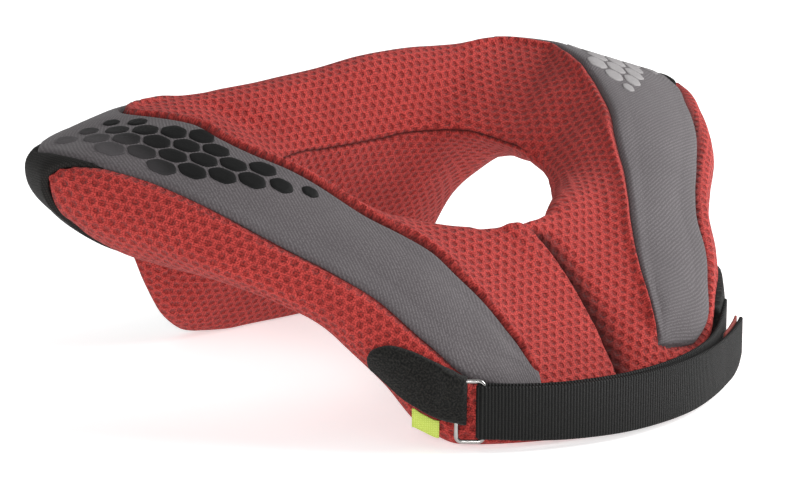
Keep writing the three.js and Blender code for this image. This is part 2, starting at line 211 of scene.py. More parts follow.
def normals(grid, closed=False):
    """Outward unit normals of a grid of points."""
    across = (np.roll(grid, -1, 1) - np.roll(grid, 1, 1)) if closed else np.gradient(grid, axis=1)
    n = np.cross(np.gradient(grid, axis=0), across)
    return n / np.maximum(norm(n, axis=2, keepdims=True), 1e-9)


def soften(grid, rounds, closed=False):
    """A grid's values averaged with their neighbours along each row."""
    for _ in range(rounds):
        wide = np.pad(grid, ((0, 0), (1, 1), (0, 0)), "wrap" if closed else "edge")
        grid = (wide[:, :-2] + 2 * wide[:, 1:-1] + wide[:, 2:]) / 4
    return grid


def run(grid):
    """Distance along each row of a grid, in millimetres."""
    steps = norm(np.diff(grid, axis=1), axis=2)
    return np.concatenate([np.zeros((len(grid), 1)), np.cumsum(steps, 1)], 1)


def flatten(grid, warp):
    """Flat cloth coordinates in millimetres of a grid, with the warp direction given at each point."""
    n = normals(grid)
    warp = warp - n * (warp * n).sum(2, keepdims=True)
    warp /= np.maximum(norm(warp, axis=2, keepdims=True), 1e-6)
    spans = [np.diff(grid, axis=0), np.diff(grid, axis=1)]
    lengths = [np.maximum(norm(s, axis=2), 0.01) for s in spans]
    down = np.pad(lengths[0], ((0, 1), (0, 0)), "edge")
    across = np.pad(lengths[1], ((0, 0), (0, 1)), "edge")
    weights = [across[:-1] / lengths[0], down[:, :-1] / lengths[1]]
    wanted = np.zeros(grid.shape[:2] + (2,))
    for k, way in enumerate((warp, np.cross(n, warp))):
        flow = weights[0] * ((way[1:] + way[:-1]) / 2 * spans[0]).sum(2)
        wanted[1:, :, k] += flow
        wanted[:-1, :, k] -= flow
        flow = weights[1] * ((way[:, 1:] + way[:, :-1]) / 2 * spans[1]).sum(2)
        wanted[:, 1:, k] += flow
        wanted[:, :-1, k] -= flow
    return relax(*weights, wanted)


def relax(down, across, wanted):
    """The grid values whose steps, weighted down and across the grid, come closest to those wanted."""
    total = np.zeros(wanted.shape[:2])
    total[1:] += down
    total[:-1] += down
    total[:, 1:] += across
    total[:, :-1] += across
    total[0, 0] += 1
    gains, parts = [], []
    for i in range(len(wanted)):
        block = np.diag(total[i]) - np.diag(across[i], 1) - np.diag(across[i], -1)
        pull = wanted[i]
        if i:
            block = block - down[i - 1][:, None] * gains[-1]
            pull = pull + down[i - 1][:, None] * parts[-1]
        parts.append(solve(block, pull))
        if i < len(down):
            gains.append(solve(block, np.diag(down[i])))
    values = [parts[-1]]
    for part, gain in zip(parts[-2::-1], gains[::-1]):
        values.append(part + gain @ values[-1])
    return np.array(values[::-1])


LAST_CELL = 1.001  # keeps a place just inside a grid's last cell


def sample(grid, i, j):
    """A grid's values between its points."""
    i = np.clip(i, 0, grid.shape[0] - LAST_CELL)
    j = np.clip(j, 0, grid.shape[1] - LAST_CELL)
    a, b = i.astype(int), j.astype(int)
    s, t = (i - a)[:, None], (j - b)[:, None]
    near = grid[a, b] * (1 - s) + grid[a + 1, b] * s
    far = grid[a, b + 1] * (1 - s) + grid[a + 1, b + 1] * s
    return near * (1 - t) + far * t


def places(rows, columns):
    """The row and the column of each place in a grid."""
    return np.meshgrid(np.arange(rows), np.arange(columns), indexing="ij")


def quads(rows, columns, start=0):
    """Faces of a grid of rows by columns points."""
    i, j = places(rows - 1, columns - 1)
    a = (start + i * columns + j).ravel()
    return np.stack([a, a + columns, a + columns + 1, a + 1], 1)


def make(name, points, faces, uv, material, painted_shade=None):
    """A mesh object from points in millimetres, faces, a cloth coordinate for each face corner, and how
    much painted shade each point gets along the seams and in the front split."""
    mesh = bpy.data.meshes.new(name)
    mesh.from_pydata((np.asarray(points) * MM).tolist(), [], [list(f) for f in faces])
    layer = mesh.uv_layers.new(name="cloth")
    layer.data.foreach_set("uv", np.asarray(uv, np.float32).ravel())
    # Painted shade is kept per point for the material to darken by.
    if painted_shade is not None:
        shade_layer = mesh.attributes.new("painted_shade", "FLOAT", "POINT")
        shade_layer.data.foreach_set("value", np.asarray(painted_shade, np.float32))
    mesh.shade_smooth()
    mesh.materials.append(material)
    made = bpy.data.objects.new(name, mesh)
    scene.collection.objects.link(made)
    return made


def shell(name, outer, inner, flat, material):
    """A closed thin shell between two grids, with cloth coordinates for the grid."""
    rows, columns = outer.shape[:2]
    count = rows * columns
    front = quads(rows, columns)
    back = quads(rows, columns, count)[:, ::-1]
    rim = np.concatenate(
        [
            np.arange(columns),
            np.arange(1, rows) * columns + columns - 1,
            (rows - 1) * columns + np.arange(columns - 2, -1, -1),
            np.arange(rows - 2, 0, -1) * columns,
        ]
    )
    turned = np.roll(rim, -1)
    side = np.stack([rim, turned, turned + count, rim + count], 1)
    faces = np.concatenate([front, back, side])
    points = np.concatenate([outer.reshape(-1, 3), inner.reshape(-1, 3)])
    uv = np.tile(flat.reshape(-1, 2), (2, 1))[faces.ravel()]
    return make(name, points, faces, uv, material)


def loft(name, rings, flat, material):
    """A closed solid through a grid of rings of points, with flat caps and cloth coordinates."""
    count, size = rings.shape[:2]
    wrapped = np.concatenate([flat, flat[:, :1]], 1)
    i, j = places(count - 1, size)
    a, b = (i * size + j).ravel(), (i * size + (j + 1) % size).ravel()
    faces = [list(f) for f in np.stack([a, b, b + size, a + size], 1)]
    u, v = i.ravel(), j.ravel()
    uv = [wrapped[u, v], wrapped[u, v + 1], wrapped[u + 1, v + 1], wrapped[u + 1, v]]
    uv = list(np.stack(uv, 1).reshape(-1, 2))
    points = list(rings.reshape(-1, 3))
    for ring, order in ((0, -1), (count - 1, 1)):
        cap = [ring * size + k for k in range(size)][::order]
        faces.append(cap)
        uv += [flat[ring, k - ring * size] for k in cap]
    return make(name, points, faces, np.array(uv), material)


def linear(red, green, blue):
    """A colour given in 0 to 255 as the shader's own linear values."""
    values = [c / 255 for c in (red, green, blue)]
    return [c / 12.92 if c <= 0.04045 else ((c + 0.055) / 1.055) ** 2.4 for c in values] + [1]


class Paint:
    """A procedural material: each method adds a node and returns its main output."""

    def __init__(self, name, **constants):
        self.material = bpy.data.materials.new(name)
        self.material.use_nodes = True
        self.tree = self.material.node_tree
        self.shader = self.tree.nodes["Principled BSDF"]
        for socket, value in constants.items():
            self.shader.inputs[socket.replace("_", " ")].default_value = value
        self.cloth = self.node("ShaderNodeUVMap", uv_map="cloth").outputs[0]

    def node(self, kind, inputs=None, **settings):
        made = self.tree.nodes.new(kind)
        for name, value in settings.items():
            setattr(made, name, value)
        for socket, value in (inputs or {}).items():
            if isinstance(value, bpy.types.NodeSocket):
                self.tree.links.new(value, made.inputs[socket])
            else:
                made.inputs[socket].default_value = value
        return made

    def math(self, operation, *values):
        return self.node("ShaderNodeMath", dict(enumerate(values)), operation=operation).outputs[0]

    def vector(self, operation, *values):
        made = self.node("ShaderNodeVectorMath", dict(enumerate(values)), operation=operation)
        return made.outputs[1 if operation in ("LENGTH", "DOT_PRODUCT") else 0]

    def ramp(self, value, low, high, to_low=0.0, to_high=1.0):
        inputs = {0: value, 1: low, 2: high, 3: to_low, 4: to_high}
        return self.node("ShaderNodeMapRange", inputs, interpolation_type="SMOOTHSTEP").outputs[0]

    def noise(self, size, detail):
        inputs = {"Vector": self.cloth, "Scale": 1 / size, "Detail": detail}
        return self.node("ShaderNodeTexNoise", inputs).outputs[0]

    def mix(self, share, first, second):
        inputs = {0: share, 6: first, 7: second}
        return self.node("ShaderNodeMix", inputs, data_type="RGBA").outputs[2]

    def tone(self, share, dark, light):
        """A colour between two that are given in 0 to 255."""
        return self.mix(share, linear(*dark), linear(*light))

    def wave(self, across, pitch):
        """A ripple from 0 to 1 along a direction of the cloth, with its pitch in millimetres."""
        spot = self.vector("DOT_PRODUCT", self.cloth, across)
        turn = self.math("MULTIPLY", spot, 2 * math.pi / pitch)
        return self.math("MULTIPLY_ADD", self.math("SINE", turn), 0.5, 0.5)

    def cells(self, wide, tall):
        """Distance in millimetres to the middle of the nearest cell of a staggered lattice."""
        pitch = (wide, tall, 1)
        spot = self.vector("DIVIDE", self.cloth, pitch)
        nearest = []
        for shift in (0, 0.5):
            part = self.vector("FRACTION", self.vector("ADD", spot, (shift, shift, 0)))
            centred = self.vector("SUBTRACT", part, (0.5, 0.5, 0))
            nearest.append(self.vector("LENGTH", self.vector("MULTIPLY", centred, pitch)))
        return self.math("MINIMUM", *nearest)

    def finish(self, colour, height, depth, roughness=None):
        """Wires colour, relief (depth in millimetres for a height of 1) and roughness to the shader."""
        self.tree.links.new(colour, self.shader.inputs["Base Color"])
        inputs = {"Height": height, "Distance": depth * MM, "Strength": 1.0}
        bump = self.node("ShaderNodeBump", inputs)
        self.tree.links.new(bump.outputs[0], self.shader.inputs["Normal"])
        if roughness is not None:
            self.tree.links.new(roughness, self.shader.inputs["Roughness"])
        return self.material


# Colours of the cloths, in 0 to 255, as dark and light where there are two.
MESH_THREAD = ((132, 33, 30), (192, 68, 62))
# The hole colour is darker than the thread: painted shade for the recessed cell middles.
MESH_HOLE_PAINTED_SHADE = ((102, 23, 21), (156, 46, 41))
MESH_BLOTCH = (120, 34, 33)
# Colour of the painted shade along the cover's seams and in its front split.
MESH_PAINTED_SHADE = (48, 10, 10)
TWILL_YARN = ((76, 71, 73), (98, 93, 95))
TWILL_FLECK = (108, 103, 105)
TWILL_BLOTCH = (74, 69, 71)
FELT_FUZZ = ((2, 2, 2), (36, 35, 32))
WEBBING_RIB = ((3, 3, 3), (34, 34, 33))
WEBBING_FLECK = (30, 30, 29)
PRINT_FADED = (100, 96, 98)
WIRE_SMEAR = ((138, 136, 134), (182, 180, 178))
FLOOR_GRAIN = ((246, 246, 246), (250, 250, 250))

# Cloth directions and sizes in millimetres.
WARP = (1, 0, 0)
WEFT = (0, 1, 0)
DIAGONAL = (0.6, 0.8, 0)
MESH_CELL = (4.1, 6.6)  # pitch across and along
MESH_NET = (0.5, 1.65)  # distances from a cell's middle over which the net rises
MESH_WOBBLE = 1.1
PAINTED_SHADE_SHARE = 0.85  # share of the painted shade's colour where it is deepest
PRINT_FADE = (0.118, 0.148)  # metres to the side over which the print fades


def spacer_mesh():
    """A knit net over rounded cells, with painted shade in the recessed cells, along the seams and in the
    front split.
    """
    p = Paint("spacer_mesh", Sheen_Weight=0.05, Sheen_Roughness=0.6, Specular_IOR_Level=0.2)
    middle = p.cells(*MESH_CELL)
    wobble = p.math("MULTIPLY_ADD", p.noise(2.6, 2.0), MESH_WOBBLE, -MESH_WOBBLE / 2)
    net = p.ramp(p.math("ADD", middle, wobble), *MESH_NET)
    loops = p.math("MULTIPLY", p.wave(WEFT, 0.9), p.wave(WARP, 1.1))
    knit = p.math("MULTIPLY_ADD", loops, 0.12, p.math("MULTIPLY", p.noise(0.6, 4.0), 0.97))
    blotch = p.noise(16.0, 2.0)
    height = p.math("MULTIPLY_ADD", knit, 0.5, net)
    bright = p.ramp(knit, 0.4, 0.62)
    # Painted shade: the recessed cell middles take the darker hole colour.
    colour = p.mix(net, p.tone(bright, *MESH_HOLE_PAINTED_SHADE), p.tone(bright, *MESH_THREAD))
    colour = p.mix(p.ramp(blotch, 0.3, 0.7, 0.0, 0.18), colour, linear(*MESH_BLOTCH))
    # Painted shade along the seams and in the front split, read from a per-point attribute of the cover.
    painted_shade = p.node("ShaderNodeAttribute", attribute_name="painted_shade").outputs["Fac"]
    colour = p.mix(p.math("MULTIPLY", painted_shade, PAINTED_SHADE_SHARE), colour, linear(*MESH_PAINTED_SHADE))
    return p.finish(colour, height, 0.9, p.ramp(knit, 0.2, 0.8, 0.78, 0.95))


def twill():
    p = Paint("stretch_twill", Sheen_Weight=0.08, Sheen_Roughness=0.5, Specular_IOR_Level=0.25)
    fleck = p.noise(0.7, 4.0)
    blotch = p.noise(18.0, 2.0)
    weave = p.math("MULTIPLY", p.wave(DIAGONAL, 1.2), p.ramp(fleck, 0.3, 0.6))
    colour = p.tone(p.ramp(weave, 0.0, 0.9), *TWILL_YARN)
    colour = p.mix(p.ramp(fleck, 0.35, 0.75, 0.0, 0.3), colour, linear(*TWILL_FLECK))
    colour = p.mix(p.ramp(blotch, 0.35, 0.7, 0.0, 0.2), colour, linear(*TWILL_BLOTCH))
    return p.finish(colour, weave, 0.1, p.ramp(fleck, 0.2, 0.8, 0.65, 0.85))


def plain_cloth(name, dark, light):
    p = Paint(name, Specular_IOR_Level=0.2)
    weave = p.math("MULTIPLY", p.wave(WARP, 0.8), p.wave(WEFT, 0.8))
    fleck = p.noise(0.6, 3.0)
    colour = p.tone(p.math("MULTIPLY", weave, fleck), dark, light)
    return p.finish(colour, weave, 0.12, p.ramp(fleck, 0.2, 0.8, 0.65, 0.85))


def felt():
    p = Paint("loop_felt", Sheen_Weight=0.06, Sheen_Roughness=0.7, Specular_IOR_Level=0.1)
    fuzz = p.noise(0.7, 6.0)
    clump = p.noise(3.0, 3.0)
    height = p.math("MULTIPLY_ADD", clump, 0.8, fuzz)
    colour = p.tone(p.ramp(fuzz, 0.38, 0.7), *FELT_FUZZ)
    return p.finish(colour, height, 0.5, p.ramp(clump, 0.3, 0.7, 0.85, 1.0))


def webbing():
    p = Paint("webbing", Specular_IOR_Level=0.2)
    height = p.math("MULTIPLY_ADD", p.wave(WEFT, 0.7), 0.25, p.wave(WARP, 1.25))
    fleck = p.noise(0.5, 3.0)
    colour = p.tone(p.ramp(height, 0.3, 1.1), *WEBBING_RIB)
    colour = p.mix(p.ramp(fleck, 0.4, 0.8, 0.0, 0.3), colour, linear(*WEBBING_FLECK))
    return p.finish(colour, height, 0.45, p.ramp(fleck, 0.2, 0.8, 0.6, 0.8))


def rubber(name, dark, light):
    """Print that fades to the cloth's grey towards the wing tips."""
    p = Paint(name, Specular_IOR_Level=0.15)
    speck = p.noise(1.2, 4.0)
    where = p.node("ShaderNodeTexCoord").outputs["Object"]
    out = p.math("ABSOLUTE", p.vector("DOT_PRODUCT", where, (1, 0, 0)))
    faded = p.ramp(out, *PRINT_FADE, 0.0, 0.75)
    colour = p.mix(faded, p.tone(speck, dark, light), linear(*PRINT_FADED))
    return p.finish(colour, speck, 0.08, p.ramp(speck, 0.3, 0.7, 0.5, 0.65))


def plated_wire():
    p = Paint("plated_wire", Metallic=1.0)
    smear = p.noise(2.5, 3.0)
    colour = p.tone(smear, *WIRE_SMEAR)
    return p.finish(colour, smear, 0.02, p.ramp(smear, 0.3, 0.7, 0.12, 0.22))


RED = spacer_mesh()
GREY = twill()
BLACK = plain_cloth("black_cloth", (18, 17, 16), (58, 55, 52))
FELT = felt()
WEBBING = webbing()
RUBBER = rubber("print_rubber", (9, 9, 9), (20, 20, 20))
# The wearer's left print is a lighter copy of the black one: partly the print's own grey, partly painted
# sheen on its glossy cells.
GREY_PRINT_AND_SHEEN = rubber("print_grey_and_painted_sheen", (128, 125, 126), (158, 155, 155))
STEEL = plated_wire()
HOOK = plain_cloth("hook_tape", (120, 56, 52), (178, 96, 88))
LIME = plain_cloth("label_cloth", (176, 192, 84), (216, 228, 128))


def place(piece, node):
    """Rides a piece on the frame in place of a node, whose part is hidden."""
    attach(piece, "root")
    if node:
        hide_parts(node)
    return piece


# The collar's cover: soft waves, sunk seams that wander off the corners' middles, a rolled edge along
# the ridge seam, a bed under the panels, and a front split whose left side dips under the right.
SIDE_PANEL = (49, 162)  # turns at its two ends
SEAM_SHIFT = [
    # turn, then the wearer's right ridge seam, left ridge seam, right brow seam and left brow seam:
    # millimetres further down the outline
    (49, 6, 0, 0, 0),
    (57, 9, -0.5, 0, 0),
    (62, 8, -1.2, -1, -1),
    (67, 6, -2, -3.5, -3.5),
    (72, 4, -2.2, -7, -5.5),
    (76, 3.2, -2.2, -9, -6),
    (80, 2.8, -2, -8, -4.5),
    (90, 3, -1.5, -4.5, -0.5),
    (105, 3, -0.6, -1.5, 1),
    (120, 1.8, 1.2, 0, 0.6),
    (138, 0, 1.6, 1, 2.2),
    (146, 0, 1.4, 4, 4.6),
    (150, 0.2, 1.4, 4.3, 4.2),
    (155, 0.5, 1.4, 4.6, 0.8),
    (158, 0.7, 1.4, 4.8, -2.5),
    (162, 1, 1.5, 5, -7.5),
]
BACK_PANEL = [(0, 79), (0.1, 76), (0.3, 74), (0.6, 75), (1, 77)]  # share down, half-width in turns
FINE_FROM = 172  # turn from which slices are closer together than 1
FINE_STEP = 0.5
NORMAL_EVEN = 4  # rounds of averaging of the direction that lifts go in
SIDE_TURN = 90  # turn of the wearer's left side
SEAM = {"deep": 1.8, "half": 1.2, "back": (47, 49), "front": (158, 163)}
ROLL = {"high": 2.0, "off": 2.8, "half": 1.8, "back": (36, 53)}  # on the back wall's side of the seam
BAND_PUFF = {"high": 1.0, "off": 4.5, "half": 3.2, "back": (76, 84)}  # below the brow seam
BED = {"deep": 1.2, "edge": 1.5, "back_edge": 1.0}
WAIST_SEAM = {"deep": 1.4, "half": 0.7, "front": (66, 76)}
# LOBE_DIP's dark: the share of the way into the split over which painted shade fades in.
LOBE_DIP = {"wide": 16, "deep": 8, "waist": (-4, 10), "foot": (6, 14), "dark": (0.3, 0.75)}  # on the left
LOBE_PROUD = {"high": 1.5, "turns": (164, 176), "foot": (10, 20)}  # on the right
SIDE_PUFF = {"turn": 90, "turns": 16, "high": 3.3, "off": 12, "half": 11}
WAIST_PUFF = {"turn": 138, "turns": 26, "left": 4.5, "right": 1.5, "half": 12}
WAVES = [(17, 1.3), (21, 0.4), (15, 2.0)]  # span and offset along each axis
WAVE = {"high": 0.5, "foot": (1, 8)}
PAINTED_SHADE_HALF = {"ridge": 1.3, "brow": 1.1, "waist": 0.6}  # half-widths of the painted shade along the seams
SWELL = {"start": 0.4, "cap": 2.6, "pressure": 40, "frames": 20, "turns": 3, "steps": 2, "even": 8}
HELD = {"seam": (1, 2.5), "front": (112, 120), "front_top": (36, 44), "split": (168, 174), "floor": (2, 6)}


def shift(turn, corner):
    """How far the seam at a corner is off the corner's middle."""
    table_turns, *columns = zip(*SEAM_SHIFT)
    right, left = columns[2:] if corner == "brow" else columns[:2]
    reach = np.clip(np.abs(turn), table_turns[0], table_turns[-1])
    return np.where(turn < 0, along(table_turns, right, reach), along(table_turns, left, reach))


def ridge_seam(turn, travelled):
    return travelled[:, seam("ridge")] + shift(turn, "ridge")


def brow_seam(turn, travelled):
    return travelled[:, seam("brow")] + shift(turn, "brow")


front = np.arange(FINE_FROM + FINE_STEP, 180 + FINE_STEP, FINE_STEP)
turns = np.concatenate([-front[::-1], np.arange(-FINE_FROM, FINE_FROM + 1.0), front])
size = np.abs(turns)
base = cover(turns)
levels = base[:, :, 2]
base_normals = soften(normals(base, closed=True), NORMAL_EVEN, closed=True)
length = run(np.concatenate([base, base[:, :1]], 1))
length, whole = length[:, :-1], length[:, -1:]
ridge_off = length - ridge_seam(turns, length)[:, None]
brow_off = length - brow_seam(turns, length)[:, None]
waist_off = length - length[:, seam("waist"), None]
waist_off = np.where(waist_off > whole / 2, waist_off - whole, waist_off)

# Seams, rolled edge, band and bed of the side panels, and the seam behind the neck.
short_of_front = 1 - smooth(size, *SEAM["front"])
beside = (smooth(size, *SEAM["back"]) * short_of_front)[:, None]
lift = -SEAM["deep"] * beside * (bell(ridge_off, 0, SEAM["half"]) + bell(brow_off, 0, SEAM["half"]))
rolled = (smooth(size, *ROLL["back"]) * short_of_front)[:, None]
lift += ROLL["high"] * rolled * bell(ridge_off, -ROLL["off"], ROLL["half"])
on_band = beside * smooth(size, *BAND_PUFF["back"])[:, None]
lift += BAND_PUFF["high"] * on_band * bell(brow_off, BAND_PUFF["off"], BAND_PUFF["half"])
inside = smooth(ridge_off, 0, BED["edge"]) * (1 - smooth(brow_off, -BED["edge"], 0))
lift -= BED["deep"] * beside * inside
at_back = (1 - smooth(size, *WAIST_SEAM["front"]))[:, None]
lift -= WAIST_SEAM["deep"] * at_back * bell(waist_off, 0, WAIST_SEAM["half"])

# Both sides of the front split.
to_split = base[:, :, 0] - along(*zip(*SPLIT_LINE), levels)
near_split = np.where(turns[:, None] > SIDE_TURN, np.clip(1 - to_split / LOBE_DIP["wide"], 0, 1), 0)
near_split = near_split * smooth(waist_off, *LOBE_DIP["waist"])
lift -= LOBE_DIP["deep"] * (1 - np.sqrt(1 - near_split**2)) * smooth(levels, *LOBE_DIP["foot"])
# Painted shade: the colour darkens towards the split's valley.
split_painted_shade = smooth(near_split, *LOBE_DIP["dark"])
proud = LOBE_PROUD["high"] * smooth(-turns, *LOBE_PROUD["turns"])
lift += proud[:, None] * smooth(levels, *LOBE_PROUD["foot"])

# Fuller places at the neck opening and on the left side.
at_hole = np.where(turns > 0, WAIST_PUFF["left"], WAIST_PUFF["right"])
at_hole = at_hole * bell(size, WAIST_PUFF["turn"], WAIST_PUFF["turns"])
lift += at_hole[:, None] * bell(waist_off, 0, WAIST_PUFF["half"])
on_side = SIDE_PUFF["high"] * bell(turns, SIDE_PUFF["turn"], SIDE_PUFF["turns"])
lift += on_side[:, None] * bell(brow_off, SIDE_PUFF["off"], SIDE_PUFF["half"])

# The back panel's bed and seam, and waves all over.
down = brow_off / (length[:, seam("heel")] - length[:, seam("brow")] - shift(turns, "brow"))[:, None]
half_width = along(*zip(*BACK_PANEL), np.clip(down, 0, 1))
behind = (half_width - size[:, None]) * np.radians(1) * norm(base[:, :, :2], axis=2)
on_back = (down > 0) & (down < 1)
sunk = BED["deep"] * smooth(behind, -BED["back_edge"], BED["back_edge"])
sunk = sunk + SEAM["deep"] * bell(behind, 0, SEAM["half"])
lift -= np.where(on_back, sunk, 0)
wavy = np.prod([np.sin(base[:, :, k] / span + offset) for k, (span, offset) in enumerate(WAVES)], axis=0)
lift += WAVE["high"] * wavy * smooth(levels, *WAVE["foot"])


def swell(held):
    """How far each point of the cover moves in a cloth simulation under pressure, with held ones fixed."""
    spaced = np.searchsorted(turns, np.arange(-180, 180, SWELL["turns"]))
    rows = np.unique(np.append(spaced, len(turns) - 1))
    columns = np.arange(0, ROUND, SWELL["steps"])
    loose = (1 - held)[:, :, None] * base_normals * SWELL["start"]
    start = (base - loose)[rows][:, columns]
    count, around = start.shape[:2]
    i, j = places(count - 1, around)
    a, b = (i * around + j).ravel(), (i * around + (j + 1) % around).ravel()
    faces = np.stack([a, a + around, b + around, b], 1).tolist()
    faces.append(list(range(around)))
    faces.append([(count - 1) * around + k for k in range(around)][::-1])
    corners = sum(len(f) for f in faces)
    cloth = make("swelling_cover", start.reshape(-1, 3), faces, np.zeros((corners, 2)), RED)
    group = cloth.vertex_groups.new(name="held")
    for index, weight in enumerate(held[rows][:, columns].ravel()):
        group.add([index], float(weight), "REPLACE")
    physics = cloth.modifiers.new("swell", "CLOTH")
    physics.settings.vertex_group_mass = "held"
    physics.settings.use_pressure = True
    physics.settings.uniform_pressure_force = SWELL["pressure"]
    physics.settings.effector_weights.gravity = 0
    physics.point_cache.frame_end = SWELL["frames"]
    for step in range(1, SWELL["frames"] + 1):
        scene.frame_set(step)
    swollen = cloth.evaluated_get(bpy.context.evaluated_depsgraph_get()).to_mesh()
    end = np.empty(count * around * 3, np.float32)
    swollen.vertices.foreach_get("co", end)
    moved = end.reshape(start.shape) / MM - start
    far = norm(moved, axis=2, keepdims=True)
    moved *= np.minimum(1, SWELL["cap"] / np.maximum(far, 1e-6))
    scene.frame_set(1)
    bpy.data.objects.remove(cloth)
    moved = np.concatenate([moved, moved[:, :1]], 1)
    fine_i = np.interp(np.arange(len(turns)), rows, np.arange(count))
    fine_j = np.interp(np.arange(ROUND), np.append(columns, ROUND), np.arange(around + 1))
    fine = np.stack([sample(moved, fine_i, np.full(len(turns), k)) for k in fine_j], 1)
    fine = soften(fine.transpose(1, 0, 2), SWELL["even"]).transpose(1, 0, 2)
    return soften(fine, SWELL["even"], closed=True) - loose


near, far = HELD["seam"]
on_panel = beside * smooth(ridge_off, -far, -near) * (1 - smooth(brow_off, near, far))
under_back = np.where(on_back, smooth(behind, -far, -near), 0)
at_waist = at_back * (1 - smooth(np.abs(waist_off), near, far))
at_front = smooth(size, *HELD["front"])[:, None] * (1 - smooth(levels, *HELD["front_top"]))
at_split = smooth(size, *HELD["split"])[:, None]
on_floor = 1 - smooth(levels, *HELD["floor"])
held = np.maximum.reduce(np.broadcast_arrays(on_panel, under_back, at_waist, at_front, at_split, on_floor))
swelling = swell(held)
pad = base + base_normals * lift[:, :, None] + swelling
pad[:, :, 2] = np.maximum(pad[:, :, 2], 0)

# Red net on four cuts of cloth: each has its own flat coordinates.
ALONG_X = np.array([1.0, 0, 0])
UP = np.array([0, 0, 1.0])
LEAN = 0.2  # how much the level knit leans sideways
CUTS = [
    # first seam, last seam, which way the knit runs
    ("waist", "brow", "sideways"),
    ("brow", "heel", "round"),
    ("heel", "foot", "sideways"),
    ("foot", "waist", "level"),
]
faces, uv = [], []
for start, stop, knit in CUTS:
    first, last = seam(start), seam(stop)
    last += ROUND if last < first else 0
    rows = np.arange(first, last + 1) % ROUND
    grid = base[:, rows]
    facing = normals(grid)
    sideways = ALONG_X - facing * facing[:, :, :1]
    if knit == "level":
        warp = np.cross(UP, facing) + LEAN * sideways
    elif knit == "round":
        warp = np.gradient(grid, axis=0)
    else:
        warp = sideways
    flat = flatten(grid, warp)
    i, j = places(len(turns) - 1, len(rows) - 1)
    for di, dj in ((0, 0), (1, 0), (1, 1), (0, 1)):
        faces.append(((i + di) * ROUND + rows[j + dj]).ravel())
        uv.append(flat[i + di, j + dj].reshape(-1, 2))
faces = np.concatenate([np.stack(faces[k : k + 4], 1) for k in range(0, len(faces), 4)])
uv = np.concatenate([np.stack(uv[k : k + 4], 1).reshape(-1, 2) for k in range(0, len(uv), 4)])
points = list(pad.reshape(-1, 3))
faces, uv = [list(f) for f in faces], list(uv)
for ring, order in ((0, 1), (len(turns) - 1, -1)):
    centre = len(points)
    points.append(pad[ring].mean(0))
    for k in range(ROUND):
        a, b = ring * ROUND + k, ring * ROUND + (k + 1) % ROUND
        faces.append([centre, a, b] if order > 0 else [centre, b, a])
        uv += [points[p][1:] for p in faces[-1]]
# Painted shade: the cover's colour darkens along the ridge, brow and waist seams and in the front split.
painted_shade_per_point = [
    beside * bell(ridge_off, 0, PAINTED_SHADE_HALF["ridge"]),
    beside * bell(brow_off, 0, PAINTED_SHADE_HALF["brow"]),
    at_back * bell(waist_off, 0, PAINTED_SHADE_HALF["waist"]),
    split_painted_shade,
]
painted_shade_per_point = np.append(np.maximum.reduce(painted_shade_per_point).ravel(), [1, 1])
collar = place(make("collar_cover", points, faces, np.array(uv), RED, painted_shade_per_point), "collar_pad")

# Cloth panels on the cover, their edges tucked into the seams.
PANEL = {"lift": 0.3, "tuck": 1.6, "edge": 1.8, "thick": 0.9}
PANEL_STEPS = (140, 44)
BACK_STEPS = (240, 50)
HEEL_MARGIN = 3  # from the back panel's lower edge to the heel


def edge_run(grid):
    """Distance in millimetres of each point of a grid to the grid's nearest border."""
    rows = run(grid)
    columns = run(grid.transpose(1, 0, 2)).T
    both = [rows, rows[:, -1:] - rows, columns, columns[-1:] - columns]
    return np.minimum.reduce(both)


def panel(name, grid, material):
    """A sheet of cloth over a grid, and its outer face, that face's normals and the flat cloth."""
    n = normals(grid)
    dip = PANEL["tuck"] * (1 - smooth(edge_run(grid), 0, PANEL["edge"]))
    outer = grid + n * (PANEL["lift"] - dip)[:, :, None]
    inner = outer - n * PANEL["thick"]
    flat = flatten(grid, np.gradient(grid, axis=0))
    made = shell(name, outer, inner, flat, material)
    steps = [np.diff(outer, axis=0)[:, :-1], np.diff(outer, axis=1)[:-1]]
    area = norm(np.cross(*steps), axis=2).sum()
    return made, outer, n, flat


def between(turn, share, start, stop):
    """Points of the cover at these turns, a share of the way between two distances on the outline."""
    grid = cover(turn)
    travelled = run(grid)
    way = start(turn, travelled)
    way = way + (stop(turn, travelled) - way) * share
    i = (travelled < way[:, None]).sum(1) - 1
    every = np.arange(len(turn))
    t = (way - travelled[every, i]) / (travelled[every, i + 1] - travelled[every, i])
    return grid[every, i] * (1 - t)[:, None] + grid[every, i + 1] * t[:, None]


def heel_seam(turn, travelled):
    return travelled[:, seam("heel")] - HEEL_MARGIN


panels = {}
for side, name in ((1, "left"), (-1, "right")):
    turn = np.linspace(*SIDE_PANEL, PANEL_STEPS[0])
    turn = turn if side > 0 else -turn[::-1]
    shares = np.linspace(0, 1, PANEL_STEPS[1])
    grid = np.stack([between(turn, share, ridge_seam, brow_seam) for share in shares], 1)
    made, outer, n, flat = panel(f"side_panel_{name}_cloth", grid, GREY)
    place(made, f"side_panel_{name}")
    panels[name] = (turn, outer, n, flat)

columns = np.linspace(-1, 1, BACK_STEPS[0])
grid = []
for share in np.linspace(0, 1, BACK_STEPS[1]):
    turn = columns * along(*zip(*BACK_PANEL), share)
    grid.append(between(turn, share, brow_seam, heel_seam))
grid = np.stack(grid, 1)
made, *_ = panel("back_panel_cloth", grid, BLACK)
place(made, "back_panel")

